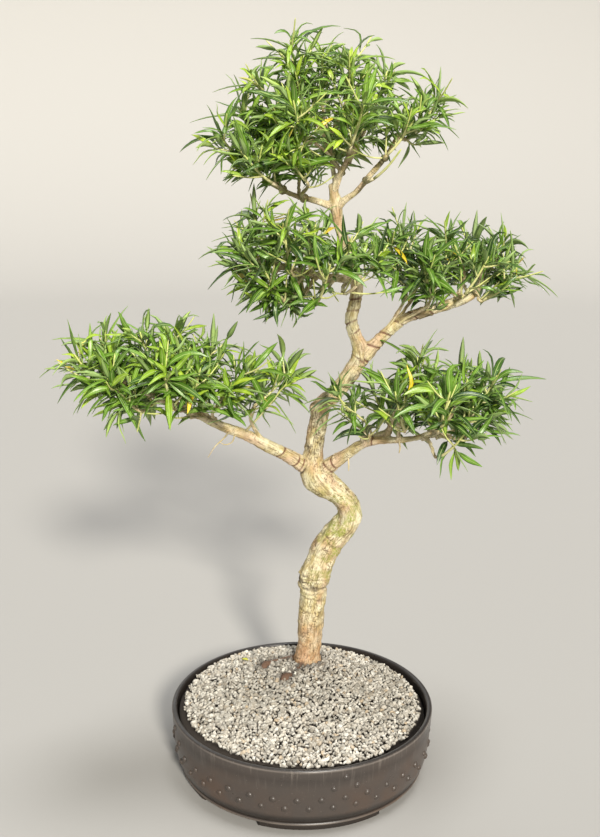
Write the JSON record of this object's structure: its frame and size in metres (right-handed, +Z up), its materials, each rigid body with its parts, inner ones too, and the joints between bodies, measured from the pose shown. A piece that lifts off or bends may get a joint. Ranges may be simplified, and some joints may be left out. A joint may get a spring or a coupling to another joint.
{
  "type": "willow leaf ficus bonsai",
  "caption": "Willow leaf ficus bonsai: curved pale trunk, spreading branches and pads of narrow pointed leaves, planted in grit in a round dark studded pot on low feet.",
  "frame": {"origin": "middle of the pot's footprint, on the surface that its feet stand on; the whole object's box is centred on it within a few millimetres", "axes": "+Z up along the tree, +X to the right and -Y towards the viewer in the picture"},
  "size_m": [0.5513, 0.305, 0.8331],
  "materials": {
    "pot_clay": "unglazed matt dark brown-grey stoneware",
    "drain_mesh": "matt moulded",
    "grit": "dry light grey-beige angular grit",
    "bark": "pale cream bark with fine fissures",
    "leaf": "satin green leaf with a paler rib"
  },
  "bodies": {
    "root": {"pot": "pot_clay", "drain_screen_left": "drain_mesh", "drain_screen_right": "drain_mesh", "trunk_and_branches": "bark", "gravel": "grit", "spray_left_01": "leaf", "spray_left_02": "leaf", "spray_left_03": "leaf", "spray_left_04": "leaf", "spray_left_05": "leaf", "spray_left_06": "leaf", "spray_left_07": "leaf", "spray_left_08": "leaf", "spray_left_09": "leaf", "spray_left_10": "leaf", "spray_left_11": "leaf", "spray_low_right_01": "leaf", "spray_low_right_02": "leaf", "spray_low_right_03": "leaf", "spray_low_right_04": "leaf", "spray_low_right_05": "leaf", "spray_low_right_06": "leaf", "spray_low_right_07": "leaf", "spray_low_right_08": "leaf", "spray_low_right_09": "leaf", "spray_mid_01": "leaf", "spray_mid_02": "leaf", "spray_mid_03": "leaf", "spray_mid_04": "leaf", "spray_mid_05": "leaf", "spray_mid_06": "leaf", "spray_mid_07": "leaf", "spray_mid_08": "leaf", "spray_mid_09": "leaf", "spray_up_right_01": "leaf", "spray_up_right_02": "leaf", "spray_up_right_03": "leaf", "spray_up_right_04": "leaf", "spray_up_right_05": "leaf", "spray_up_right_06": "leaf", "spray_up_right_07": "leaf", "spray_up_right_08": "leaf", "spray_crown_01": "leaf", "spray_crown_02": "leaf", "spray_crown_03": "leaf", "spray_crown_04": "leaf", "spray_crown_05": "leaf", "spray_crown_06": "leaf", "spray_crown_07": "leaf", "spray_crown_08": "leaf", "spray_crown_09": "leaf", "spray_crown_10": "leaf", "spray_crown_11": "leaf", "spray_crown_12": "leaf", "spray_crown_13": "leaf", "spray_crown_14": "leaf", "spray_crown_15": "leaf", "spray_crown_16": "leaf"}
  },
  "joints": []
}
